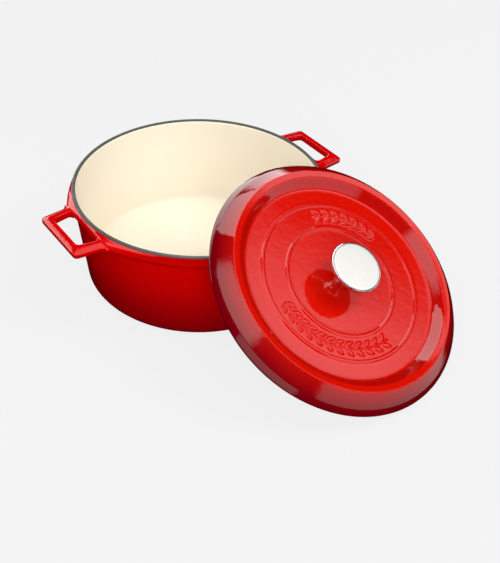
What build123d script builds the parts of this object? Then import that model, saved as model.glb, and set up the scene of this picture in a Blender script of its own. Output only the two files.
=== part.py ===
from build123d import *

import math
import os

# An enamelled cast iron dutch oven, 24 cm across the inside, standing open with its lid
# leaning against the rim. Millimetres, +Z up. The origin is the centre of the pot's flat
# foot, and +X runs along the line through the two loop handles.

# Driving dimensions
RIM_RADIUS = 123.0
POT_HEIGHT = 100.5
COAT = 0.45                  # thickness of every layer of enamel
LID_RADIUS = 124.8
LID_THICKNESS = 4.55         # plate of the lid, enamel included
LID_TILT = 31.1              # degrees that the leaning lid is tilted from flat
LEAN_AZIMUTH = -77.0         # degrees from +X to the side that the lid leans on
REST_GAP = 0.3               # clearance between the leaning lid, the rim and the table

# Pot
WALL = 3.6
WALL_DRAFT = 0.094           # inward lean of the wall, per unit of height
FLOOR = 5.0
OUTER_CORNER = 10.0
INNER_CORNER = 8.0
RIM_BEVEL = 0.7               # eased outer edge of the rim
RIM_COAT_DEPTH = 1.5
FOOT_INNER = 88.0
FOOT_OUTER = 105.0

# Loop handles, seen from above
GRIP_REACH = 152.0
GRIP_TIP_HALF = 34.3
GRIP_ROOT_HALF = 37.0
HOLE_NEAR = 124.5
HOLE_FAR = 144.0
HOLE_NEAR_HALF = 27.5
HOLE_FAR_HALF = 23.5
GRIP_CORNER = 4.0
HOLE_CORNER = 4.0
GRIP_DROP = 4.5              # from the rim down to the top of the handle
GRIP_THICKNESS = 7.5
GRIP_BEVEL = 2.6             # height of the slope along the handle's outer edge
GRIP_BEVEL_ANGLE = 58.0
LUG_FADE_ANGLE = 50.0        # degrees from +X where the thickened shoulder meets the wall
LUG_SLOPE = 0.69
LUG_DEPTH = 13.0

# Lid, measured from the top of its flat plate
BORE_RADIUS = 3.5
RING_RADII = (54.0, 77.5)
RING_HEIGHT = 1.1
RING_HALF_TOP = 0.8
RING_HALF_FOOT = 1.9
PLATE_RADIUS = 94.8
BEAD_INNER = 103.0
BEAD_OUTER = 108.7
BEAD_HEIGHT = 9.2
BEAD_RISE = 1.2
SHOULDER_RADIUS = 120.3
SHOULDER_DROP = 0.3
LIP_DROP = 6.0
SEAT_DROP = 10.0
SEAT_OUTER = 122.6
SEAT_INNER = 116.5
LOCATING_DEPTH = 6.1
LOCATING_INNER = 112.5
HOLLOW_OUTER = 107.0

# Leafy ornament on the plate and drip bumps under it
SPRIG_RADIUS = 65.75
SPRIG_HEIGHT = 1.0
SPRIG_STEM = 1.9
LEAF_LENGTH = 10.0
LEAF_WIDTH = 4.4
LEAF_OFFSET = 4.1
LEAF_SPLAY = 32.0
SPRIGS = ((131.0, 7), (308.0, 12))     # azimuth of the middle, and pairs of leaves
LEAF_PITCH = 8.4                       # degrees from one pair of leaves to the next
DRIP_RINGS = ((36.0, 10), (84.0, 24))
DRIP_SPHERE = 4.5
DRIP_HEIGHT = 2.4

# Knob
KNOB_FOOT = 10.5
KNOB_NECK = 7.0
KNOB_NECK_HEIGHT = 8.0
KNOB_HEAD = 24.2
KNOB_HEIGHT = 28.2
KNOB_EDGE = 4.4
DISC_RADIUS = 23.2
DISC_THICKNESS = 1.2
SCREW_RADIUS = 2.95
SCREW_BORE = 3.0
SCREW_LENGTH = 14.0          # of the shank above the lid's plate
SCREW_HEAD_RADIUS = 6.0
SCREW_HEAD_HEIGHT = 3.6
WASHER_RADIUS = 6.4
WASHER_THICKNESS = 1.5

BIG = 400.0


def turned(points, radii):
    """A solid of revolution about Z. points are (radius, height), with one rounding for each."""
    outline = FilletPolyline(*[(r, 0, z) for r, z in points], radius=radii, close=True)
    return revolve(make_face(outline), Axis.Z)


def tube(inner, outer, low, high):
    """A plain ring about Z."""
    ring = Cylinder(outer, high - low, align=(Align.CENTER, Align.CENTER, Align.MIN))
    if inner > 0:
        ring -= Cylinder(inner, high - low, align=(Align.CENTER, Align.CENTER, Align.MIN))
    return Pos(0, 0, low) * ring


def wall_radius(height):
    """Outer radius of the finished pot at a height."""
    return RIM_RADIUS - (POT_HEIGHT - height) * WALL_DRAFT


def outer_form(inset):
    """The pot without its hollow, drawn in by a thickness of enamel."""
    slant = inset * math.hypot(1, WALL_DRAFT)
    bevel = RIM_BEVEL - (2 - math.sqrt(2)) * inset
    top = POT_HEIGHT - inset
    points = [(0, inset), (wall_radius(inset) - slant, inset)]
    points += [(wall_radius(top - bevel) - slant, top - bevel)]
    points += [(wall_radius(top) - slant - bevel, top), (0, top)]
    return turned(points, [0, OUTER_CORNER - inset, 0, 0, 0])


def hollow_form(outset):
    """The pot's hollow, widened by a thickness of enamel, and open upwards."""
    slant = outset * math.hypot(1, WALL_DRAFT)
    floor = FLOOR - outset
    top = POT_HEIGHT + 10
    points = [(0, floor), (wall_radius(floor) - WALL + slant, floor)]
    points += [(wall_radius(top) - WALL + slant, top), (0, top)]
    return turned(points, [0, INNER_CORNER + outset, 0, 0])


def facing_up(lines):
    """The flat face inside a closed outline, with its normal along +Z."""
    face = make_face(lines).face()
    return face if face.normal_at().Z > 0 else -face


def plan(points, radii, low, height, taper=0.0):
    """A flat outline seen from above, raised from a height. taper leans its sides inwards."""
    outline = FilletPolyline(*[(x, y, 0) for x, y in points], radius=radii, close=True)
    return Pos(0, 0, low) * extrude(facing_up(outline), height, taper=taper)


def grip(inset):
    """One loop handle on the +X side, with its slope along the outer edge and its finger hole."""
    top = POT_HEIGHT - GRIP_DROP - inset
    bottom = POT_HEIGHT - GRIP_DROP - GRIP_THICKNESS + inset
    reach = GRIP_REACH - inset
    root = GRIP_ROOT_HALF - inset
    tip = GRIP_TIP_HALF - inset
    start = HOLE_NEAR - 12
    outline = [(start, -root), (reach, -tip), (reach, tip), (start, root)]
    rounding = [0, GRIP_CORNER - inset, GRIP_CORNER - inset, 0]
    side = top - GRIP_BEVEL
    body = plan(outline, rounding, bottom, side - bottom)
    body += plan(outline, rounding, side, GRIP_BEVEL, GRIP_BEVEL_ANGLE)
    hole = [(HOLE_NEAR + inset, -HOLE_NEAR_HALF), (HOLE_FAR + inset, -HOLE_FAR_HALF)]
    hole += [(HOLE_FAR + inset, HOLE_FAR_HALF), (HOLE_NEAR + inset, HOLE_NEAR_HALF)]
    gap = plan(hole, [HOLE_CORNER] * 4, bottom - 20, 40)
    return body, gap


def lug(inset):
    """The shoulder between one handle and the wall, which fades into the rim on both sides."""
    fade = math.radians(LUG_FADE_ANGLE)
    radius = RIM_RADIUS - inset
    corner = (HOLE_NEAR - inset, GRIP_ROOT_HALF)
    mirror = (HOLE_NEAR - inset, -GRIP_ROOT_HALF)
    end = (radius * math.cos(fade), radius * math.sin(fade))
    lines = TangentArc(end, corner, tangent=(math.sin(fade), -math.cos(fade)))
    lines += Line(corner, mirror)
    lines += TangentArc((end[0], -end[1]), mirror, tangent=(math.sin(fade), math.cos(fade)))
    lines += Polyline((end[0], -end[1]), (0, 0), end)
    low = POT_HEIGHT - LUG_DEPTH + inset
    block = Pos(0, 0, low) * extrude(facing_up(lines), LUG_DEPTH - 2 * inset)
    reach = 60
    edge = POT_HEIGHT - RIM_COAT_DEPTH - inset
    cone = [(0, 0), (radius + reach, 0), (radius + reach, edge - reach * LUG_SLOPE)]
    cone += [(radius, edge), (0, edge)]
    return block & turned(cone, [0] * len(cone))


def both_sides(piece):
    """A piece made on the +X side and its twin on the -X side."""
    return piece + Rot(0, 0, 180) * piece


def pot_form(inset):
    """The whole pot with its handles, drawn in on every face by a thickness of enamel."""
    body, gap = grip(inset)
    solid = outer_form(inset) + both_sides(lug(inset)) + both_sides(body)
    solid -= both_sides(gap)
    return solid - hollow_form(inset)


def plain_wall(inset):
    """The pot without its handles and their shoulders, drawn in by a thickness of enamel."""
    return outer_form(inset) - hollow_form(inset)


def make_pot():
    """The pot's casting and the enamel on it, as a dictionary of named solids."""
    finished = pot_form(0)
    iron = pot_form(COAT)
    iron += tube(FOOT_INNER, FOOT_OUTER, 0, 2 * COAT)
    coats = finished - iron
    rim_zone = tube(0, BIG, POT_HEIGHT - RIM_COAT_DEPTH, POT_HEIGHT + 1)
    inside_zone = hollow_form(2 * COAT)
    base_zone = tube(0, FOOT_INNER, -1, 2)
    body = coats - rim_zone
    return {
        "pot_casting": iron,
        "pot_rim_coat": (plain_wall(0) - plain_wall(COAT)) & rim_zone,
        "pot_inner_enamel": body & inside_zone,
        "pot_base_enamel": body & base_zone,
        "pot_outer_enamel": body - inside_zone - base_zone,
    }


def lid_outline():
    """The finished lid's section as (radius, height, rounding), from the bore outwards and back."""
    edge = BORE_RADIUS - COAT
    under = -LID_THICKNESS
    points = [(edge, 0, 0)]
    for ring in RING_RADII:
        points += [(ring - RING_HALF_FOOT, 0, 0.8), (ring - RING_HALF_TOP, RING_HEIGHT, 0.6)]
        points += [(ring + RING_HALF_TOP, RING_HEIGHT, 0.6), (ring + RING_HALF_FOOT, 0, 0.8)]
    points += [
        (PLATE_RADIUS, 0, 4.0),
        (BEAD_INNER, BEAD_HEIGHT, 2.0),
        (BEAD_OUTER, BEAD_HEIGHT + BEAD_RISE, 1.5),
        (SHOULDER_RADIUS, -SHOULDER_DROP, 3.0),
        (LID_RADIUS, -LIP_DROP, 1.5),
        (SEAT_OUTER, -SEAT_DROP, 1.0),
        (SEAT_INNER, -SEAT_DROP, 0),
        (SEAT_INNER, -SEAT_DROP - LOCATING_DEPTH, 1.0),
        (LOCATING_INNER, -SEAT_DROP - LOCATING_DEPTH, 1.0),
        (LOCATING_INNER, -LID_THICKNESS, 4.0),
        (HOLLOW_OUTER, BEAD_HEIGHT - LID_THICKNESS, 2.0),
        (BEAD_INNER, BEAD_HEIGHT - LID_THICKNESS, 2.0),
        (PLATE_RADIUS - 1, under, 4.0),
        (edge, under, 0),
    ]
    return points


def leaf(inset):
    """One leaf lying along +X: the lens between two arcs, centred on the origin."""
    half_length = LEAF_LENGTH / 2
    half_width = LEAF_WIDTH / 2
    bow = (half_length**2 + half_width**2) / (2 * half_width)
    disc = make_face(CenterArc((0, half_width - bow), bow - inset, 0, 360))
    other = make_face(CenterArc((0, bow - half_width), bow - inset, 0, 360))
    return disc & other


def sprigs(inset, low, high):
    """The leafy ornament between the two rings: curved stems with pairs of leaves along them."""
    flat = Sketch()
    for middle, pairs in SPRIGS:
        first = middle - LEAF_PITCH * (pairs - 1) / 2
        span = LEAF_PITCH * pairs
        stem_half = SPRIG_STEM / 2 - inset / 2
        sector = [(0, 0)]
        for turn in (0, span / 2, span):
            angle = math.radians(middle - span / 2 + turn)
            sector.append((BIG * math.cos(angle), BIG * math.sin(angle)))
        stem = Circle(SPRIG_RADIUS + stem_half) - Circle(SPRIG_RADIUS - stem_half)
        flat += stem & make_face(Polyline(*sector, close=True))
        for number in range(pairs):
            angle = first + LEAF_PITCH * number
            for side in (-1, 1):
                place = Rot(0, 0, angle) * Pos(SPRIG_RADIUS + side * LEAF_OFFSET, 0, 0)
                flat += place * Rot(0, 0, 90 - side * LEAF_SPLAY) * leaf(inset)
    return Pos(0, 0, low) * extrude(flat, high - low)


def drips(inset):
    """The drip bumps under the lid, as balls that stand out of the plate's underside."""
    centre = -LID_THICKNESS - DRIP_HEIGHT + DRIP_SPHERE
    ball = Sphere(DRIP_SPHERE - inset)
    bumps = Part()
    for radius, count in DRIP_RINGS:
        for number in range(count):
            bumps += Rot(0, 0, 360 * number / count) * Pos(radius, 0, centre) * ball
    below = tube(0, BIG, -LID_THICKNESS - 2 * DRIP_HEIGHT, -LID_THICKNESS / 2)
    return bumps & below


def make_lid():
    """The lid's casting and the enamel on it, lying flat with its plate's top at height 0."""
    points = [(r, 0, z) for r, z, _ in lid_outline()]
    section = make_face(FilletPolyline(*points, radius=[bend for _, _, bend in lid_outline()], close=True))
    bore = tube(0, BORE_RADIUS, -BIG, BIG)
    shell = revolve(section, Axis.Z)
    core = revolve(offset(section, -COAT), Axis.Z)
    finished = shell + sprigs(0, -LID_THICKNESS / 2, SPRIG_HEIGHT) + drips(0) - bore
    iron = core + sprigs(COAT, -LID_THICKNESS / 2, SPRIG_HEIGHT - COAT) + drips(COAT) - bore
    coats = finished - iron
    seat_zone = tube(SEAT_INNER + COAT, SEAT_OUTER, -SEAT_DROP - 1, -LIP_DROP)
    rest = (coats - seat_zone).solids().sort_by(Axis.Z)
    return {
        "lid_casting": iron,
        "lid_seat_coat": coats & seat_zone,
        "lid_inner_enamel": rest[0],
        "lid_outer_enamel": rest[-1],
    }


def make_knob():
    """The knob, its bright disc, and the screw and washer that hold it, about the lid's axis."""
    head_low = KNOB_HEIGHT - KNOB_EDGE
    profile = [(0, 0, 0), (KNOB_FOOT, 0, 0.8), (KNOB_FOOT, 2.0, 1.0), (KNOB_NECK, KNOB_NECK_HEIGHT, 6.0)]
    profile += [(KNOB_NECK + 1, head_low - 6, 5.0), (KNOB_HEAD - 3, head_low, 2.0)]
    profile += [(KNOB_HEAD, head_low + 1, 0.8), (KNOB_HEAD, KNOB_HEIGHT, 0.9), (0, KNOB_HEIGHT, 0)]
    body = turned([(r, z) for r, z, _ in profile], [bend for _, _, bend in profile])
    disc = tube(0, DISC_RADIUS, KNOB_HEIGHT - DISC_THICKNESS, KNOB_HEIGHT)
    under = -LID_THICKNESS
    head_top = under - WASHER_THICKNESS
    head = tube(0, SCREW_HEAD_RADIUS, head_top - SCREW_HEAD_HEIGHT, head_top)
    head = fillet(head.edges().sort_by(Axis.Z)[0], 1.8)
    slot = Pos(0, 0, head_top - SCREW_HEAD_HEIGHT) * Box(6.4, 1.4, 3.2)
    cross = slot + Rot(0, 0, 90) * slot
    washer = tube(SCREW_BORE, WASHER_RADIUS, head_top, under)
    return {
        "knob_body": body - disc - tube(0, SCREW_BORE, -1, SCREW_LENGTH + 1),
        "knob_disc": disc,
        "knob_screw": head + tube(0, SCREW_RADIUS, head_top, SCREW_LENGTH) - cross,
        "lock_washer": washer - Pos(WASHER_RADIUS, 0, under) * Box(WASHER_RADIUS * 2, 1.0, 4),
    }


def leaning():
    """Where the lid goes: its locating ring just above the table and its underside just off the rim."""
    tilt = math.radians(LID_TILT)
    ring_drop = SEAT_DROP + LOCATING_DEPTH
    height = REST_GAP + SEAT_INNER * math.sin(tilt) + ring_drop * math.cos(tilt)
    rise = POT_HEIGHT - height
    away = RIM_RADIUS + (LID_THICKNESS + REST_GAP + rise * math.cos(tilt)) / math.sin(tilt)
    return Rot(0, 0, LEAN_AZIMUTH) * Pos(away, 0, height) * Rot(0, LID_TILT, 0)


pieces = make_pot()
for name, piece in {**make_lid(), **make_knob()}.items():
    pieces[name] = leaning() * piece

os.makedirs("parts", exist_ok=True)
for name, piece in pieces.items():
    export_step(piece, f"parts/{name}.step")
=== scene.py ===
"""The looks of an enamelled cast iron dutch oven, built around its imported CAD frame."""

import math

import bmesh
import bpy
import numpy as np
from mathutils import Matrix, Vector


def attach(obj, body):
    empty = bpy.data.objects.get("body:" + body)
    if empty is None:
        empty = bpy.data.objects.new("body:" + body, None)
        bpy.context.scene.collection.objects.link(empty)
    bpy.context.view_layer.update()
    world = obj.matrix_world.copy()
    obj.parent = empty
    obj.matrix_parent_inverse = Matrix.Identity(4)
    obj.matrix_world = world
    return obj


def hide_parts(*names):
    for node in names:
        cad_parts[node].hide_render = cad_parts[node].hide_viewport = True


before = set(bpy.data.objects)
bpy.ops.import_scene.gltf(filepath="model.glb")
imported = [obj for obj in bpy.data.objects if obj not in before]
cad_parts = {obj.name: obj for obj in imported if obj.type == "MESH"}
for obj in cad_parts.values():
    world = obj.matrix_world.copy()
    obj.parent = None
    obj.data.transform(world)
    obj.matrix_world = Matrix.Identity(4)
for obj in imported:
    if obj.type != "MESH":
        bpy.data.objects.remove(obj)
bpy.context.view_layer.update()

# Dimensions of the object, in millimetres and degrees, mostly as the CAD model has them.
MM = 0.001
COAT = 0.45                  # thickness of a layer of enamel
RIM_RADIUS = 123.0
POT_HEIGHT = 100.5
WALL = 3.6
WALL_DRAFT = 0.094           # how far the wall leans out for each millimetre up
FLOOR = 5.0
OUTER_CORNER = 10.0
INNER_CORNER = 8.0
RIM_COAT_DEPTH = 1.5
RIM_EDGE = 1.3
FOOT_INNER = 88.0
FOOT_OUTER = 105.0
FOOT_EDGE = 0.3

GRIP_REACH = 152.0
GRIP_TIP_HALF = 34.3
GRIP_ROOT_HALF = 37.0
HOLE_NEAR = 124.5
HOLE_FAR = 144.0
HOLE_NEAR_HALF = 27.5
HOLE_FAR_HALF = 23.5
GRIP_ROOT = 118.5            # where the handle's arms end, inside the wall
GRIP_CORNER = 4.0
GRIP_FLARE = 4.5             # rounding where an arm runs into the shoulder
GRIP_DROP = 4.5
GRIP_THICKNESS = 7.5
GRIP_BEVEL = 2.6
GRIP_WIDTH = 9.0             # the width that the handle's section is drawn at
LUG_FADE_ANGLE = 50.0        # how far round from a handle its shoulder reaches
LUG_SLOPE = 0.69
LUG_DEPTH = 13.0
LUG_FADE_DEPTHS = (8.5, 14.0)
LUG_START = 1.2              # depth over which the shoulder grows out of the rim
LUG_BLEND = 1.2              # softness of the edge between its top and its side

BORE_RADIUS = 3.5
RING_RADII = (54.0, 77.5)
RING_HEIGHT = 1.1
RING_HALF_TOP = 0.8
RING_HALF_FOOT = 1.9
RING_TOP_BEND = 0.45
RING_FOOT_BEND = 0.5
PLATE_RADIUS = 94.8
BEAD_INNER = 103.0
BEAD_OUTER = 108.7
BEAD_HEIGHT = 9.2
BEAD_RISE = 1.2
SHOULDER_RADIUS = 120.3
SHOULDER_DROP = 0.3
LID_RADIUS = 124.8
LID_THICKNESS = 4.55
LIP_DROP = 6.0
SEAT_DROP = 10.0
SEAT_OUTER = 122.6
SEAT_INNER = 116.5
SEAT_LAP = 0.6               # how far red and cream enamel stay back from the seat's edges
LOCATING_DEPTH = 6.1
LOCATING_INNER = 112.5
HOLLOW_OUTER = 107.0
LID_TILT = 31.1
LEAN_AZIMUTH = -77.0
REST_GAP = 0.3

SPRIG_RADIUS = 65.75
SPRIG_HEIGHT = 1.0
SPRIG_STEM = 1.9
SPRIG_DEGREE = 1.15          # length of one degree round the sprig's middle line
STEM_HEIGHT = 0.75
LEAF_LENGTH = 10.0
LEAF_WIDTH = 4.4
LEAF_OFFSET = 4.1
LEAF_SPLAY = 32.0
LEAF_PITCH = 8.4
VEIN_DEPTH = 0.5
VEIN_WIDTH = 0.5
SPRIGS = ((131.0, 7), (308.0, 12))          # azimuth of the middle, and pairs of leaves
DRIP_RINGS = ((36.0, 10), (84.0, 24))       # radius, and number of bumps
DRIP_SPHERE = 4.5
DRIP_HEIGHT = 2.4
DRIP_SPREAD = 1.25           # a bump's soft foot, as a share of the sphere's cut

KNOB_FOOT = 6.5              # this and the neck are slimmer than the CAD knob's
KNOB_NECK = 5.6
KNOB_NECK_HEIGHT = 8.0
KNOB_HEAD = 24.2
KNOB_HEIGHT = 28.2
KNOB_EDGE = 4.4
DISC_RADIUS = 23.2
DISC_THICKNESS = 1.2
DISC_GAP = 0.7               # groove between the disc and the knob round it
DISC_SINK = 0.05
SCREW_BORE = 3.0

# Steps round a rounded corner.
ARC_STEPS = 5
CORNER_STEPS = 14            # the pot's large corners
BEND_STEPS = 8               # the handles' corners and the knob's
EDGE_STEPS = 7               # the rim's edges
SMALL_STEPS = 4              # the handles' section and the disc's edge
CORE_STEPS = 3               # iron, which is hidden
BACK_STEPS = 2               # the hidden side of enamel

# Lengths of a mesh's steps along a line, in millimetres.
WALL_STEP = 2.5
IRON_STEP = 6.0
LUG_STEP = 0.6
COAT_STEP = 0.8
LID_STEP = 3.0
SPRIG_STEP = 0.62
UNDERSIDE_STEP = 1.4
KNOB_STEP = 1.5
DISC_STEP = 2.0

# Steps all the way round the axis.
POT_SEGMENTS = 600
POT_IRON_SEGMENTS = 720
PLAIN_SEGMENTS = 360
COAT_SEGMENTS = 480
LID_SEGMENTS = 512
UNDERSIDE_SEGMENTS = 560
KNOB_SEGMENTS = 256

AXIS_RADIUS = 0.01           # a point of the axis, where a grid needs separate points
HANDLE_PAINTED_SHADE = 0.66          # painted shade on the handles' red, darker for their lit upper faces, from 0 for dark to 1 for bright

# Colours, as red, green and blue.
POT_REDS = ((0.86, 0.001, 0.0008), (0.26, 0.0, 0.003))       # bright, dark; for both reds the dark end also serves painted shade
LID_REDS = ((0.62, 0.005, 0.001), (0.15, 0.0, 0.004))
CREAMS = ((0.94, 0.86, 0.71), (0.95, 0.885, 0.745))
SPECK = (0.5, 0.38, 0.24)
GREYS = ((0.05, 0.05, 0.045), (0.12, 0.12, 0.11))
IRONS = ((0.12, 0.115, 0.11), (0.26, 0.25, 0.24))
DISC_TONES = ((0.85, 0.84, 0.80), (0.9, 0.89, 0.85))
CHROME = (0.78, 0.78, 0.79)
STEEL = (0.62, 0.62, 0.63)
WHITE = (1.0, 1.0, 1.0)

ENAMEL_IOR = 1.5
CLOUD_DEPTH = 0.7            # brightness of the clouds in red enamel beside its bright red

# The studio. Softboxes have no distance, and their sizes are angles in degrees: azimuth, elevation,
# half width, half height, brightness, softness of the edges, and roll.
SOFTBOXES = (
    (318, 44, 18.5, 15, 1.85, 5, -7),
    (357, 56, 5, 6.5, 1.2, 0.8, 0),
    (179, 48, 27, 8.5, 2.0, 4, -14),
    (214, 10, 26, 7, 1.0, 2, -35),
    (95, 19, 43, 12, 3.0, 2, 8),
    (50, 54, 15, 6, 1.0, 2, 0),
    (301, -13, 49, 12, 1.0, 3, -15),
    (233, 80, 26, 20, 1.4, 2, 0),
)
FILL_LAMPS = (               # azimuth, elevation, size in metres, and power in watts
    (316, 54, 0.8, 10),
    (236, 30, 1.6, 22),
    (75, -45, 1.0, 11),
)
FILL_DISTANCE = 2.0
GLOSS_TARGET = (86, 50, 4)   # on the lid, in its own millimetres
GLOSS_DIRECTION = (97, 44)
GLOSS_DISTANCE = 0.3
GLOSS_SIZE = (0.30, 0.13)
GLOSS_BRIGHTNESS = 3.0
STAGE_SPAN = 12.0            # in metres
BACKDROP_GLOW = 0.888
FLOOR_GLOW = 0.82
FLOOR_ALBEDO = 0.07

CAMERA_PLACE = (-398.5, -621.4, 575.6)
CAMERA_HEADING = 53.2
CAMERA_PITCH = 39.12
CAMERA_ROLL = 2.35
CAMERA_SENSOR = 36.0
CAMERA_LENS = 57.3


# Outlines ------------------------------------------------------------------------------


def rounded(points, closed=True, steps=ARC_STEPS):
    """An outline's corners (x, y, bend) turned into arcs of radius bend."""
    out = []
    count = len(points)
    for index, (x, y, bend) in enumerate(points):
        corner = Vector((x, y))
        if bend == 0 or (not closed and index in (0, count - 1)):
            out.append(corner)
            continue
        back = (Vector(points[index - 1][:2]) - corner).normalized()
        on = (Vector(points[(index + 1) % count][:2]) - corner).normalized()
        half = back.angle(on) / 2
        middle = corner + (back + on).normalized() * bend / math.sin(half)
        start = corner + back * bend / math.tan(half) - middle
        end = corner + on * bend / math.tan(half) - middle
        turn = start.angle_signed(end)
        for step in range(steps + 1):
            out.append(middle + Matrix.Rotation(-turn * step / steps, 2) @ start)
    return out


def spaced(points, longest, fine=None):
    """The same open line with its long runs divided. fine is (low x, high x, step) for one zone."""
    out = [points[0]]
    for start, end in zip(points, points[1:]):
        middle = (start.x + end.x) / 2
        step = longest
        if fine and fine[0] < middle < fine[1]:
            step = fine[2]
        pieces = max(1, math.ceil((end - start).length / step - 1e-6))
        out += [start.lerp(end, number / pieces) for number in range(1, pieces + 1)]
    return out


def inset(points, distance):
    """An open line moved sideways by a distance, to its right."""
    out = []
    last = len(points) - 1
    for index, point in enumerate(points):
        before = points[max(index - 1, 0)]
        after = points[min(index + 1, last)]
        along = (after - before).normalized()
        out.append(point + Vector((along.y, -along.x)) * distance)
    return out


# Meshes --------------------------------------------------------------------------------


def make_object(name, verts, faces, shade=None):
    """A smooth object from points in millimetres, with its faces turned outwards."""
    mesh = bpy.data.meshes.new(name)
    mesh.from_pydata((np.asarray(verts, float) * MM).tolist(), [], faces)
    if shade is not None:
        layer = mesh.attributes.new("shade", "FLOAT", "POINT")
        layer.data.foreach_set("value", np.asarray(shade, np.float32))
    work = bmesh.new()
    work.from_mesh(mesh)
    bmesh.ops.remove_doubles(work, verts=work.verts, dist=1e-7)
    bmesh.ops.recalc_face_normals(work, faces=work.faces)
    work.to_mesh(mesh)
    work.free()
    mesh.polygons.foreach_set("use_smooth", [True] * len(mesh.polygons))
    piece = bpy.data.objects.new(name, mesh)
    bpy.context.scene.collection.objects.link(piece)
    return piece


def joined(name, parts, shade=None):
    """One object from several pairs of points and faces."""
    all_verts = []
    all_faces = []
    for verts, faces in parts:
        base = len(all_verts)
        all_verts += [tuple(vert) for vert in verts]
        all_faces += [tuple(base + corner for corner in face) for face in faces]
    return make_object(name, all_verts, all_faces, shade)


def wrap_faces(rows, columns, close_rows, start=0):
    """Quads over a grid of points that closes on itself along its columns."""
    faces = []
    for row in range(rows if close_rows else rows - 1):
        low = start + row * columns
        high = start + (row + 1) % rows * columns
        for column in range(columns):
            beside = (column + 1) % columns
            faces.append((low + column, low + beside, high + beside, high + column))
    return faces


def turns(segments):
    """The angles of a turned grid's columns."""
    return np.linspace(0, 2 * math.pi, segments, endpoint=False)


def spin(points, segments):
    """A grid of points from a line (radius, height) turned about Z."""
    line = np.array([(p[0], p[1]) for p in points])
    angle = turns(segments)
    grid = np.empty((len(line), segments, 3))
    grid[..., 0] = line[:, :1] * np.cos(angle)
    grid[..., 1] = line[:, :1] * np.sin(angle)
    grid[..., 2] = line[:, 1:]
    return grid


def layer_between(name, face, back, shade=None):
    """A closed layer whose visible side is one grid and whose hidden side is another."""
    rows = np.concatenate([face, back[::-1]])
    values = None
    if shade is not None:
        values = np.concatenate([shade, np.ones(back.shape[:2])]).reshape(-1)
    faces = wrap_faces(rows.shape[0], rows.shape[1], True)
    return make_object(name, rows.reshape(-1, 3), faces, values)


def turned_layer(name, line, thickness, segments):
    """A turned layer of even thickness behind a line."""
    return layer_between(name, spin(line, segments), spin(inset(line, thickness), segments))


def turned_solid(name, outline, segments):
    """A turned solid from an outline that starts and ends on the axis, or closes on itself."""
    on_axis = abs(outline[0][0]) < 1e-9 and abs(outline[-1][0]) < 1e-9
    grid = spin(outline, segments)
    faces = wrap_faces(len(outline), segments, not on_axis)
    return make_object(name, grid.reshape(-1, 3), faces)


def smoothstep(low, high, value):
    """0 below low, 1 above high, and a soft step between."""
    share = np.clip((value - low) / (high - low), 0, 1)
    return share * share * (3 - 2 * share)


# The pot -------------------------------------------------------------------------------


def wall_radius(height):
    """Outer radius of the finished wall at a height."""
    return RIM_RADIUS - (POT_HEIGHT - height) * WALL_DRAFT


def shoulder_reach(angle):
    """Distance from the axis to the handles' shoulder, seen from above."""
    folded = np.abs((np.degrees(angle) + 90) % 180 - 90)
    fade = math.radians(LUG_FADE_ANGLE)
    tangent = Vector((math.cos(fade), math.sin(fade)))
    corner = Vector((HOLE_NEAR, GRIP_ROOT_HALF))
    along = corner.dot(tangent)
    bow = (corner.length_squared - 2 * RIM_RADIUS * along + RIM_RADIUS**2) / (2 * (RIM_RADIUS - along))
    offset = RIM_RADIUS - bow
    turn = np.radians(np.minimum(folded, LUG_FADE_ANGLE)) - fade
    sweep = offset * np.cos(turn) + np.sqrt(bow**2 - (offset * np.sin(turn)) ** 2)
    chord = HOLE_NEAR / np.cos(np.radians(folded))
    root = math.degrees(math.atan2(corner.y, corner.x))
    return np.where(folded < root, chord, sweep)


def pot_outside(drawn_in, segments, step):
    """The pot's outer wall with the handles' shoulders, from the rim coat to the foot."""
    upper = POT_HEIGHT - RIM_COAT_DEPTH
    corner = [(wall_radius(upper), upper, 0), (wall_radius(0), 0, OUTER_CORNER), (FOOT_OUTER, 0, 0)]
    line = spaced(rounded(corner, closed=False, steps=CORNER_STEPS), step)
    head_end = upper - LUG_DEPTH - 5 * LUG_STEP
    head = [Vector((wall_radius(z), z)) for z in np.arange(upper, head_end, -LUG_STEP)]
    line = head + [p for p in line if p.y < head[-1].y - LUG_STEP / 2]
    grid = spin(line, segments)
    angle = turns(segments)
    radius = np.hypot(grid[..., 0], grid[..., 1])
    depth = POT_HEIGHT - grid[..., 2]
    bevel = (depth - RIM_COAT_DEPTH) / LUG_SLOPE
    reach = shoulder_reach(angle) - RIM_RADIUS
    shoulder = RIM_RADIUS - LUG_BLEND * np.log(np.exp(-bevel / LUG_BLEND) + np.exp(-reach / LUG_BLEND))
    extra = np.maximum(shoulder - radius, 0) * (1 - smoothstep(*LUG_FADE_DEPTHS, depth))
    extra *= smoothstep(0, LUG_START, depth - RIM_COAT_DEPTH)
    outer = radius + extra - drawn_in
    grid[..., 0] = outer * np.cos(angle)
    grid[..., 1] = outer * np.sin(angle)
    grid[..., 2] += drawn_in * np.clip(1 - grid[..., 2] / OUTER_CORNER, 0, 1)
    return grid


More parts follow.
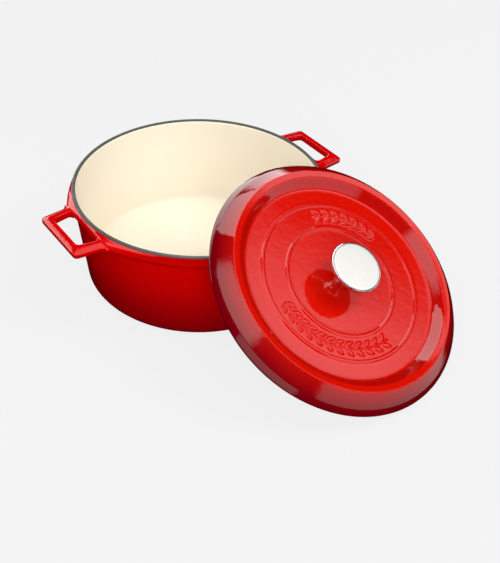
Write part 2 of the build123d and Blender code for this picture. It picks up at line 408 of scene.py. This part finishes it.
def handle_line(far, near_half, far_half, flare_out):
    """One edge of a loop handle seen from above: out along an arm, across, and back."""
    slope = (near_half - far_half) / (HOLE_NEAR - far)
    flare_end = HOLE_NEAR + GRIP_FLARE
    flare_turn = np.linspace(0, math.pi / 2, 7)
    stations = np.concatenate([
        np.linspace(GRIP_ROOT, HOLE_NEAR, 4)[:-1],
        HOLE_NEAR + GRIP_FLARE * (1 - np.cos(flare_turn))[:-1],
        np.linspace(flare_end, far - GRIP_CORNER * 1.2, 7),
    ])
    arm = []
    for x in stations:
        into = np.clip(flare_end - x, 0, GRIP_FLARE)
        flare = GRIP_FLARE - math.sqrt(GRIP_FLARE**2 - into**2)
        arm.append(Vector((x, far_half + slope * (x - far) + flare_out * flare)))
    turn = [(arm[-1].x, arm[-1].y, 0), (far, far_half, GRIP_CORNER), (far, 0, 0)]
    bend = rounded(turn, closed=False, steps=BEND_STEPS)[1:-1]
    bar = [Vector((far, y)) for y in np.linspace(bend[-1].y, 0, BEND_STEPS)[1:]]
    half_line = arm + bend + bar
    return half_line + [Vector((p.x, -p.y)) for p in half_line[-2::-1]]


def handle_parts(drawn_in):
    """The points and faces of both loop handles, each a closed tube with its ends in the wall."""
    outer = handle_line(GRIP_REACH - drawn_in, GRIP_ROOT_HALF - drawn_in, GRIP_TIP_HALF - drawn_in, 1)
    inner = handle_line(HOLE_FAR + drawn_in, HOLE_NEAR_HALF + drawn_in, HOLE_FAR_HALF + drawn_in, -1)
    low = 2 * drawn_in - GRIP_THICKNESS
    section = rounded([
        (0, 0, 0.9),
        (GRIP_WIDTH * 0.5, 0, 1.5),
        (GRIP_WIDTH, -GRIP_BEVEL, 1.1),
        (GRIP_WIDTH, low, 1.8),
        (0, low, 1.6),
    ], steps=SMALL_STEPS)
    top = POT_HEIGHT - GRIP_DROP - drawn_in
    rows = len(inner)
    columns = len(section)
    verts = []
    faces = []
    for side in (1, -1):
        start = len(verts)
        for near_edge, far_edge in zip(inner, outer):
            for across, height in section:
                place = near_edge.lerp(far_edge, across / GRIP_WIDTH)
                verts.append((side * place.x, side * place.y, top + height))
        last_row = start + (rows - 1) * columns
        faces += wrap_faces(rows, columns, False, start)
        faces.append(tuple(range(start, start + columns)))
        faces.append(tuple(range(last_row, last_row + columns)))
    return verts, faces


def make_pot_red():
    """The red enamel on the outside of the pot and its handles."""
    face = pot_outside(0, POT_SEGMENTS, WALL_STEP)
    back = pot_outside(COAT, POT_SEGMENTS, WALL_STEP)
    rows = np.concatenate([face, back[::-1]])
    level = rows[..., 2]
    # Darker towards the bottom, and painted shade on the upward-facing shoulder just under the rim.
    wall_shade = smoothstep(-6, 84, level) - 0.3 * smoothstep(92, 98, level)
    wall = (rows.reshape(-1, 3), wrap_faces(len(rows), POT_SEGMENTS, True))
    handles = handle_parts(0)
    # The handles all take one painted shade, darker than the wall's top.
    shade = np.append(wall_shade, np.full(len(handles[0]), HANDLE_PAINTED_SHADE))
    piece = joined("pot_red_enamel", [wall, handles], shade)
    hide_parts("pot_outer_enamel")
    return piece


def inner_line(outset, top):
    """The pot's hollow from its middle to a height near the rim."""
    floor = FLOOR - outset
    slant = outset * math.hypot(1, WALL_DRAFT)
    points = [(0.0, floor, 0), (wall_radius(floor) - WALL + slant, floor, INNER_CORNER + outset)]
    points += [(wall_radius(top) - WALL + slant, top, 0)]
    return rounded(points, closed=False, steps=CORNER_STEPS)


def make_pot_cream():
    """The cream enamel on the inside of the pot."""
    upper = POT_HEIGHT - RIM_COAT_DEPTH
    face = spaced(inner_line(0, upper), WALL_STEP)
    back = inner_line(COAT, upper)
    piece = turned_solid("pot_cream_enamel", face + back[::-1], PLAIN_SEGMENTS)
    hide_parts("pot_inner_enamel")
    return piece


def make_pot_rim():
    """The grey ground coat over the rim, a cap of even thickness with softly rounded edges."""
    low = POT_HEIGHT - RIM_COAT_DEPTH
    outer = wall_radius(low)
    line = rounded([
        (outer - WALL, low, 0),
        (RIM_RADIUS - WALL, POT_HEIGHT, RIM_EDGE),
        (RIM_RADIUS, POT_HEIGHT, RIM_EDGE),
        (outer, low, 0),
    ], closed=False, steps=EDGE_STEPS)
    piece = turned_layer("pot_rim_ground_coat", spaced(line, COAT_STEP), COAT, COAT_SEGMENTS)
    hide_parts("pot_rim_coat")
    return piece


def make_pot_iron():
    """The iron under the enamel. Only its ground foot shows."""
    outside = pot_outside(COAT, POT_IRON_SEGMENTS, IRON_STEP)
    foot = [
        (FOOT_OUTER, 0.5),
        (FOOT_OUTER - FOOT_EDGE, 0),
        (FOOT_INNER + FOOT_EDGE, 0),
        (FOOT_INNER, COAT),
        (AXIS_RADIUS, COAT),
    ]
    bottom = spin(foot, POT_IRON_SEGMENTS)
    hollow = spin(inner_line(COAT, POT_HEIGHT - COAT), POT_IRON_SEGMENTS)
    rows = np.concatenate([outside, bottom, hollow])
    body = (rows.reshape(-1, 3), wrap_faces(len(rows), POT_IRON_SEGMENTS, True))
    piece = joined("pot_iron", [body, handle_parts(COAT)])
    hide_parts("pot_casting")
    return piece


# The lid, made lying flat with its plate's top at height 0 --------------------------------


def leaning():
    """The leaning lid's place: its locating ring just above the table, its underside off the rim."""
    tilt = math.radians(LID_TILT)
    ring_drop = SEAT_DROP + LOCATING_DEPTH
    height = REST_GAP + SEAT_INNER * math.sin(tilt) + ring_drop * math.cos(tilt)
    rise = POT_HEIGHT - height
    away = RIM_RADIUS + (LID_THICKNESS + REST_GAP + rise * math.cos(tilt)) / math.sin(tilt)
    turn = Matrix.Rotation(math.radians(LEAN_AZIMUTH), 4, "Z")
    shift = Matrix.Translation(Vector((away, 0, height)) * MM)
    return turn @ shift @ Matrix.Rotation(tilt, 4, "Y")


def lean(piece):
    """Moves a piece that was made lying flat to the leaning lid's place, to ride on the lid."""
    piece.data.transform(leaning())
    piece.data.update()
    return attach(piece, "lid")


def relief(x, y):
    """Height of the leafy ornament above the plate."""
    height = np.zeros_like(x)
    radius = np.hypot(x, y)
    angle = np.degrees(np.arctan2(y, x))
    for middle, pairs in SPRIGS:
        past_end = np.abs((angle - middle + 180) % 360 - 180) - LEAF_PITCH * pairs / 2
        inside = np.minimum(SPRIG_STEM / 2 - np.abs(radius - SPRIG_RADIUS), -past_end * SPRIG_DEGREE)
        height = np.maximum(height, STEM_HEIGHT * SPRIG_HEIGHT * smoothstep(-0.15, 0.8, inside))
        first = middle - LEAF_PITCH * (pairs - 1) / 2
        for number in range(pairs):
            for side in (-1, 1):
                place = math.radians(first + LEAF_PITCH * number)
                centre = SPRIG_RADIUS + side * LEAF_OFFSET
                lie = place + math.radians(90 - side * LEAF_SPLAY)
                dx = x - centre * math.cos(place)
                dy = y - centre * math.sin(place)
                along = dx * math.cos(lie) + dy * math.sin(lie)
                across = np.abs(-dx * math.sin(lie) + dy * math.cos(lie))
                edge = LEAF_WIDTH / 2 * (1 - (2 * along / LEAF_LENGTH) ** 2) - across
                leaf = SPRIG_HEIGHT * smoothstep(-0.1, 0.4, edge)
                vein = VEIN_DEPTH * np.exp(-((across / VEIN_WIDTH) ** 2)) * smoothstep(0.3, 1.2, edge)
                height = np.maximum(height, leaf - vein)
    return height


def lid_top_line(steps):
    """The lid's upper side from the bore to the seat."""
    points = [(BORE_RADIUS, 0, 0)]
    for ring in RING_RADII:
        points += [
            (ring - RING_HALF_FOOT, 0, RING_FOOT_BEND),
            (ring - RING_HALF_TOP, RING_HEIGHT, RING_TOP_BEND),
            (ring + RING_HALF_TOP, RING_HEIGHT, RING_TOP_BEND),
            (ring + RING_HALF_FOOT, 0, RING_FOOT_BEND),
        ]
    points += [
        (PLATE_RADIUS, 0, 3.0),
        (BEAD_INNER, BEAD_HEIGHT, 1.2),
        (BEAD_OUTER, BEAD_HEIGHT + BEAD_RISE, 1.0),
        (SHOULDER_RADIUS, -SHOULDER_DROP, 14.0),
        (LID_RADIUS, -LIP_DROP, 1.3),
        (SEAT_OUTER, -SEAT_DROP, 0.9),
        (SEAT_OUTER - SEAT_LAP, -SEAT_DROP, 0),
    ]
    return rounded(points, closed=False, steps=steps)


def lid_under_line(steps):
    """The lid's underside from the locating ring to the bore."""
    points = [
        (SEAT_INNER, -SEAT_DROP - SEAT_LAP, 0),
        (SEAT_INNER, -SEAT_DROP - LOCATING_DEPTH, 1.0),
        (LOCATING_INNER, -SEAT_DROP - LOCATING_DEPTH, 1.0),
        (LOCATING_INNER, -LID_THICKNESS, 4.0),
        (HOLLOW_OUTER, BEAD_HEIGHT - LID_THICKNESS, 2.0),
        (BEAD_INNER, BEAD_HEIGHT - LID_THICKNESS, 2.0),
        (PLATE_RADIUS - 1, -LID_THICKNESS, 4.0),
        (BORE_RADIUS, -LID_THICKNESS, 0),
    ]
    return rounded(points, closed=False, steps=steps)


def make_lid_red():
    """The red enamel on top of the lid, with the ornament between its two raised rings."""
    zone_start = RING_RADII[0] + RING_HALF_FOOT
    zone_end = RING_RADII[1] - RING_HALF_FOOT
    line = spaced(lid_top_line(ARC_STEPS), LID_STEP, (zone_start, zone_end, SPRIG_STEP))
    face = spin(line, LID_SEGMENTS)
    flat = np.hypot(face[..., 0], face[..., 1])
    in_zone = (flat > zone_start) & (flat < zone_end)
    face[..., 2] += relief(face[..., 0], face[..., 1]) * in_zone
    back = spin(inset(lid_top_line(BACK_STEPS), COAT), LID_SEGMENTS)
    # Painted shade past the bead, darker towards the lip, partly the enamel's own darker edge; the
    # bead's inner flank is also darker.
    shade = 1 - 0.45 * smoothstep(BEAD_OUTER - 0.5, BEAD_OUTER + 1, flat)
    shade -= 0.55 * smoothstep(BEAD_OUTER, LID_RADIUS, flat)
    rising = smoothstep(PLATE_RADIUS - 1, PLATE_RADIUS + 2, flat)
    rising -= smoothstep(BEAD_INNER - 1.5, BEAD_INNER + 0.5, flat)
    shade -= 0.35 * rising
    piece = layer_between("lid_red_enamel", face, back, shade)
    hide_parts("lid_outer_enamel")
    return lean(piece)


def make_lid_cream():
    """The cream enamel under the lid, with its drip bumps."""
    face = spin(spaced(lid_under_line(ARC_STEPS), UNDERSIDE_STEP), UNDERSIDE_SEGMENTS)
    spread = DRIP_SPREAD * math.sqrt(DRIP_SPHERE**2 - (DRIP_SPHERE - DRIP_HEIGHT) ** 2)
    for radius, count in DRIP_RINGS:
        for angle in turns(count):
            dx = face[..., 0] - radius * math.cos(angle)
            dy = face[..., 1] - radius * math.sin(angle)
            apart = np.hypot(dx, dy)
            face[..., 2] -= DRIP_HEIGHT * (1 - smoothstep(0, spread, apart))
    back = spin(inset(lid_under_line(BACK_STEPS), COAT), UNDERSIDE_SEGMENTS)
    piece = layer_between("lid_cream_enamel", face, back)
    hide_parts("lid_inner_enamel")
    return lean(piece)


def make_lid_seat():
    """The grey ground coat on the flat that sits on the pot's rim."""
    line = [
        Vector((SEAT_OUTER - SEAT_LAP, -SEAT_DROP)),
        Vector((SEAT_INNER, -SEAT_DROP)),
        Vector((SEAT_INNER, -SEAT_DROP - SEAT_LAP)),
    ]
    piece = turned_layer("lid_seat_ground_coat", spaced(line, COAT_STEP), COAT, COAT_SEGMENTS)
    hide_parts("lid_seat_coat")
    return lean(piece)


def make_lid_iron():
    """The iron inside the lid's enamel."""
    over = inset(lid_top_line(CORE_STEPS), COAT)
    under = inset(lid_under_line(CORE_STEPS), COAT)
    piece = turned_solid("lid_iron", over + under, PLAIN_SEGMENTS)
    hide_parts("lid_casting")
    return lean(piece)


def make_knob_body():
    """The knob's turned body, with a shallow recess in its head."""
    head_low = KNOB_HEIGHT - KNOB_EDGE
    recess = KNOB_HEIGHT - DISC_THICKNESS
    profile = rounded([
        (SCREW_BORE, 0, 0),
        (KNOB_FOOT, 0, 0.8),
        (KNOB_FOOT, 2.0, 1.0),
        (KNOB_NECK, KNOB_NECK_HEIGHT, 6.0),
        (KNOB_NECK + 1, head_low - 6, 5.0),
        (KNOB_HEAD - 3, head_low, 2.0),
        (KNOB_HEAD, head_low + 1, 0.8),
        (KNOB_HEAD, KNOB_HEIGHT, 1.0),
        (DISC_RADIUS, KNOB_HEIGHT, 0.2),
        (DISC_RADIUS, recess, 0),
        (SCREW_BORE, recess, 0),
    ], steps=BEND_STEPS)
    piece = turned_solid("knob_turned_body", spaced(profile, KNOB_STEP), KNOB_SEGMENTS)
    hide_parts("knob_body")
    return lean(piece)


def make_knob_disc():
    """The bright disc let into the knob's head."""
    radius = DISC_RADIUS - DISC_GAP
    face = KNOB_HEIGHT - DISC_SINK
    recess = KNOB_HEIGHT - DISC_THICKNESS
    corners = [(0, face, 0), (radius, face, 0.35), (radius, recess, 0), (0, recess, 0)]
    outline = rounded(corners, closed=False, steps=SMALL_STEPS)
    piece = turned_solid("knob_bright_disc", spaced(outline, DISC_STEP), KNOB_SEGMENTS)
    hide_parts("knob_disc")
    return lean(piece)


# Materials -----------------------------------------------------------------------------


class Nodes:
    """A node tree whose nodes are made and linked by short calls."""

    def __init__(self, tree):
        self.tree = tree

    def join(self, value, socket):
        """Links a node's output to a socket, or sets the socket to a plain value."""
        if isinstance(value, bpy.types.NodeSocket):
            self.tree.links.new(value, socket)
        else:
            socket.default_value = value

    def node(self, kind, **inputs):
        """A node with its named inputs joined. An underscore stands for a space."""
        made = self.tree.nodes.new(kind)
        for socket, value in inputs.items():
            self.join(value, made.inputs[socket.replace("_", " ")])
        return made

    def math(self, operation, first, second=0.0):
        """The result of one sum."""
        made = self.tree.nodes.new("ShaderNodeMath")
        made.operation = operation
        self.join(first, made.inputs[0])
        self.join(second, made.inputs[1])
        return made.outputs[0]

    def spread(self, value, low, high, to_low=0.0, to_high=1.0, soft=False):
        """A value's run from low to high spread over to_low to to_high, and held beyond."""
        made = self.tree.nodes.new("ShaderNodeMapRange")
        made.interpolation_type = "SMOOTHSTEP" if soft else "LINEAR"
        for socket, number in zip(made.inputs, (value, low, high, to_low, to_high)):
            self.join(number, socket)
        return made.outputs[0]


class Shader(Nodes):
    """A material built round one principled surface."""

    def __init__(self, name, **settings):
        self.material = bpy.data.materials.new(name)
        self.material.use_nodes = True
        super().__init__(self.material.node_tree)
        self.surface = self.tree.nodes["Principled BSDF"]
        self.place = self.node("ShaderNodeTexCoord").outputs["Object"]
        for socket, value in settings.items():
            self.surface.inputs[socket.replace("_", " ")].default_value = value

    def noise(self, scale, detail=2.0):
        """A soft noise in the object's own space."""
        made = self.node("ShaderNodeTexNoise", Vector=self.place, Scale=scale, Detail=detail)
        return made.outputs["Fac"]

    def middling(self, noise, low=0.0, high=1.0):
        """A noise's usual run of values spread from low to high."""
        return self.spread(noise, 0.3, 0.7, low, high)

    def mix(self, share, first, second):
        """A colour between two, which are sockets or plain colours."""
        made = self.tree.nodes.new("ShaderNodeMix")
        made.data_type = "RGBA"       # its colour sockets are 6 and 7
        self.join(share, made.inputs[0])
        self.join(first, made.inputs[6])
        self.join(second, made.inputs[7])
        return made.outputs[2]

    def blend(self, share, colours):
        """A colour between two plain ones."""
        return self.mix(share, rgba(*colours[0]), rgba(*colours[1]))

    def bump(self, height, distance, normal=None):
        """A normal tilted by a height, over another normal if one is given."""
        made = self.node("ShaderNodeBump", Height=height, Distance=distance, Strength=1.0)
        if normal:
            self.join(normal, made.inputs["Normal"])
        return made.outputs["Normal"]

    def attribute(self, name):
        """A value that the mesh carries."""
        made = self.tree.nodes.new("ShaderNodeAttribute")
        made.attribute_name = name
        return made.outputs["Fac"]

    def drive(self, name, value):
        """Feeds one of the surface's inputs."""
        self.join(value, self.surface.inputs[name])


def rgba(red, green, blue):
    """An opaque colour."""
    return (red, green, blue, 1.0)


def red_enamel(name, bright, dark):
    """Glossy vitreous enamel, from bright to dark red by the mesh's shade attribute, which carries
    painted shade in places.
    """
    shader = Shader(name, IOR=ENAMEL_IOR)
    depth = shader.mix(shader.attribute("shade"), rgba(*dark), rgba(*bright))
    cloud = shader.middling(shader.noise(14.0, 3.0), 0.94, 1.0)
    clouded = rgba(*[part * CLOUD_DEPTH for part in bright])
    shader.drive("Base Color", shader.mix(cloud, clouded, depth))
    shader.drive("Roughness", shader.middling(shader.noise(90.0), 0.035, 0.075))
    waves = shader.bump(shader.noise(28.0, 1.0), 0.00012)
    shader.drive("Normal", shader.bump(shader.noise(190.0, 1.0), 0.00006, waves))
    return shader.material


def cream_enamel():
    """Glossy cream enamel with a few faint specks."""
    shader = Shader("cream_enamel", Roughness=0.1, IOR=ENAMEL_IOR)
    speck = shader.spread(shader.noise(900.0, 1.0), 0.74, 0.8, 0.0, 0.25)
    tone = shader.blend(shader.noise(9.0), CREAMS)
    shader.drive("Base Color", shader.mix(speck, tone, rgba(*SPECK)))
    shader.drive("Normal", shader.bump(shader.noise(60.0), 0.0002))
    return shader.material


def ground_coat():
    """Satin grey ground coat, a little uneven."""
    shader = Shader("grey_ground_coat", IOR=ENAMEL_IOR)
    shader.drive("Base Color", shader.blend(shader.noise(160.0, 4.0), GREYS))
    shader.drive("Roughness", shader.middling(shader.noise(300.0), 0.25, 0.42))
    shader.drive("Normal", shader.bump(shader.noise(500.0, 3.0), 0.0001))
    return shader.material


def bare_iron():
    """Ground grey iron with a fine grain."""
    shader = Shader("bare_iron", Metallic=1.0)
    shader.drive("Base Color", shader.blend(shader.noise(700.0, 5.0), IRONS))
    shader.drive("Roughness", shader.middling(shader.noise(220.0), 0.42, 0.62))
    shader.drive("Normal", shader.bump(shader.noise(900.0, 3.0), 0.00015))
    return shader.material


def polished(name, tone, low, high):
    """Polished metal with faint smears in its gloss, from one roughness to another."""
    shader = Shader(name, Metallic=1.0)
    shader.drive("Base Color", rgba(*tone))
    shader.drive("Roughness", shader.middling(shader.noise(60.0, 3.0), low, high))
    return shader.material


def satin_disc():
    """A pale satin metal disc, faintly uneven in tone and gloss."""
    shader = Shader("bright_disc", Metallic=0.35, IOR=ENAMEL_IOR)
    shader.drive("Base Color", shader.blend(shader.noise(14.0, 0.0), DISC_TONES))
    shader.drive("Roughness", shader.middling(shader.noise(20.0, 0.0), 0.26, 0.30))
    return shader.material


def give(thing, material):
    """Makes a material an object's only one."""
    thing.data.materials.clear()
    thing.data.materials.append(material)


def dress(piece, material):
    """Gives a new piece its material."""
    give(piece, material)


# The studio ----------------------------------------------------------------------------


def direction(azimuth, elevation):
    """The unit vector towards an azimuth, counted from +X towards +Y, and an elevation."""
    turn, rise = math.radians(azimuth), math.radians(elevation)
    return Vector((math.cos(turn) * math.cos(rise), math.sin(turn) * math.cos(rise), math.sin(rise)))


class Sky(Nodes):
    """A dark studio whose distant softboxes are drawn by direction."""

    def __init__(self):
        world = bpy.data.worlds.new("studio")
        world.use_nodes = True
        super().__init__(world.node_tree)
        self.background = self.tree.nodes["Background"]
        self.towards = self.node("ShaderNodeTexCoord").outputs["Generated"]
        self.total = 0.0
        bpy.context.scene.world = world

    def along(self, axis):
        """How far the sky's direction goes along an axis."""
        made = self.node("ShaderNodeVectorMath")
        made.operation = "DOT_PRODUCT"
        self.join(self.towards, made.inputs[0])
        made.inputs[1].default_value = axis
        return made.outputs["Value"]

    def edge(self, offset, ahead, half, soft):
        """1 inside one pair of a softbox's edges and 0 outside, with a soft step between."""
        angle = self.math("ARCTAN2", self.math("ABSOLUTE", offset), ahead)
        return self.spread(angle, math.radians(half + soft), math.radians(half - soft), soft=True)

    def softbox(self, azimuth, elevation, half_width, half_height, brightness, soft, roll):
        """A rectangle of light. Its roll lifts its side of higher azimuth."""
        ahead = direction(azimuth, elevation)
        level = direction(azimuth + 90, 0)
        plumb = ahead.cross(level)
        cosine, sine = math.cos(math.radians(roll)), math.sin(math.radians(roll))
        side = level * cosine + plumb * sine
        above = plumb * cosine - level * sine
        depth = self.along(ahead)
        across = self.edge(self.along(side), depth, half_width, soft)
        upright = self.edge(self.along(above), depth, half_height, soft)
        light = self.math("MULTIPLY", self.math("MULTIPLY", across, upright), brightness)
        self.total = self.math("ADD", light, self.total)

    def finish(self):
        """Lights the world with all the softboxes."""
        self.join(self.total, self.background.inputs["Strength"])
        self.background.inputs["Color"].default_value = rgba(*WHITE)


def only_camera(thing):
    """Hides a stage piece from every ray but the camera's."""
    for ray in ("diffuse", "glossy", "transmission", "volume_scatter", "shadow"):
        setattr(thing, "visible_" + ray, False)


def stage_material(name, glow, albedo):
    """A pale surface, mostly its own even light, that still takes a faint shadow."""
    material = bpy.data.materials.new(name)
    material.use_nodes = True
    surface = material.node_tree.nodes["Principled BSDF"]
    surface.inputs["Base Color"].default_value = rgba(albedo, albedo, albedo)
    surface.inputs["Roughness"].default_value = 1.0
    surface.inputs["Specular IOR Level"].default_value = 0.0
    surface.inputs["Emission Color"].default_value = rgba(*WHITE)
    surface.inputs["Emission Strength"].default_value = glow
    material.cycles.emission_sampling = "NONE"
    return material


def make_backdrop():
    """A pale floor under the object, and a pale dome round it."""
    floor = bpy.data.meshes.new("table")
    corners = [(x * STAGE_SPAN, y * STAGE_SPAN, 0) for x, y in ((-1, -1), (1, -1), (1, 1), (-1, 1))]
    floor.from_pydata(corners, [], [(0, 1, 2, 3)])
    floor.materials.append(stage_material("pale_table", FLOOR_GLOW, FLOOR_ALBEDO))
    dome = bpy.data.meshes.new("backdrop")
    work = bmesh.new()
    bmesh.ops.create_icosphere(work, subdivisions=4, radius=STAGE_SPAN)
    work.to_mesh(dome)
    work.free()
    dome.materials.append(stage_material("pale_backdrop", BACKDROP_GLOW, 0.0))
    for mesh in (floor, dome):
        thing = bpy.data.objects.new(mesh.name, mesh)
        bpy.context.scene.collection.objects.link(thing)
        only_camera(thing)


def hang_lamp(lamp, target, azimuth, elevation, distance, hidden_ray):
    """Hangs a lamp at a distance from a target it faces. The camera and one kind of ray miss it."""
    holder = bpy.data.objects.new(lamp.name, lamp)
    towards = direction(azimuth, elevation)
    holder.location = target + towards * distance
    holder.rotation_mode = "QUATERNION"
    holder.rotation_quaternion = towards.to_track_quat("Z", "Y")
    holder.visible_camera = False
    setattr(holder, "visible_" + hidden_ray, False)
    bpy.context.scene.collection.objects.link(holder)


def fill_lamp(azimuth, elevation, size, power):
    """A broad lamp that brightens colours and leaves no mark in the gloss."""
    lamp = bpy.data.lights.new("fill", "AREA")
    lamp.shape = "DISK"
    lamp.size = size
    lamp.energy = power
    hang_lamp(lamp, Vector((0, 0, 0)), azimuth, elevation, FILL_DISTANCE, "glossy")


def gloss_lamp():
    """A lamp near the lid that shows in the gloss only."""
    lamp = bpy.data.lights.new("gloss", "AREA")
    lamp.shape = "RECTANGLE"
    lamp.size, lamp.size_y = GLOSS_SIZE
    lamp.energy = GLOSS_BRIGHTNESS * math.pi * lamp.size * lamp.size_y
    target = leaning() @ (Vector(GLOSS_TARGET) * MM)
    hang_lamp(lamp, target, *GLOSS_DIRECTION, GLOSS_DISTANCE, "diffuse")


def make_studio():
    """Softboxes whose shapes show in the gloss, lamps that fill the colours, and a pale backdrop."""
    sky = Sky()
    for box in SOFTBOXES:
        sky.softbox(*box)
    sky.finish()
    for lamp in FILL_LAMPS:
        fill_lamp(*lamp)
    gloss_lamp()
    make_backdrop()


def make_camera():
    """A camera at the angle of the product shot, with its slight roll."""
    place = Vector(CAMERA_PLACE) * MM
    heading, roll = math.radians(CAMERA_HEADING), math.radians(CAMERA_ROLL)
    forward = direction(CAMERA_HEADING, -CAMERA_PITCH)
    level = Vector((math.sin(heading), -math.cos(heading), 0))
    up = level.cross(forward)
    right = level * math.cos(roll) + up * math.sin(roll)
    top = up * math.cos(roll) - level * math.sin(roll)
    lens = bpy.data.cameras.new("camera")
    lens.sensor_width = CAMERA_SENSOR
    lens.lens = CAMERA_LENS
    camera = bpy.data.objects.new("camera", lens)
    camera.matrix_world = Matrix((
        (right.x, top.x, -forward.x, place.x),
        (right.y, top.y, -forward.y, place.y),
        (right.z, top.z, -forward.z, place.z),
        (0, 0, 0, 1),
    ))
    bpy.context.scene.collection.objects.link(camera)
    bpy.context.scene.camera = camera


# Everything together -------------------------------------------------------------------


def make_everything():
    """Builds and dresses every piece, and dresses the CAD nodes that show."""
    pot_red = red_enamel("red_enamel_pot", *POT_REDS)
    lid_red = red_enamel("red_enamel_lid", *LID_REDS)
    cream, grey, iron = cream_enamel(), ground_coat(), bare_iron()
    chrome = polished("polished_chrome", CHROME, 0.03, 0.07)
    bright = satin_disc()
    steel = polished("zinc_steel", STEEL, 0.18, 0.32)
    for make, material, slot in (
        (make_pot_red, pot_red, "red_enamel"),
        (make_pot_cream, cream, "cream_enamel"),
        (make_pot_rim, grey, "ground_coat"),
        (make_pot_iron, iron, "bare_iron"),
    ):
        piece = make()
        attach(piece, "pot")
        dress(piece, material)
    for make, material, slot in (
        (make_lid_red, lid_red, "red_enamel"),
        (make_lid_cream, cream, "cream_enamel"),
        (make_lid_seat, grey, "ground_coat"),
        (make_lid_iron, iron, "bare_iron"),
        (make_knob_body, chrome, "knob_chrome"),
        (make_knob_disc, bright, "knob_disc"),
    ):
        dress(make(), material)
    for node, material in (("pot_base_enamel", pot_red), ("knob_screw", steel), ("lock_washer", steel)):
        give(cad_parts[node], material)


make_camera()
make_everything()
make_studio()
bpy.context.scene.view_settings.view_transform = "Standard"
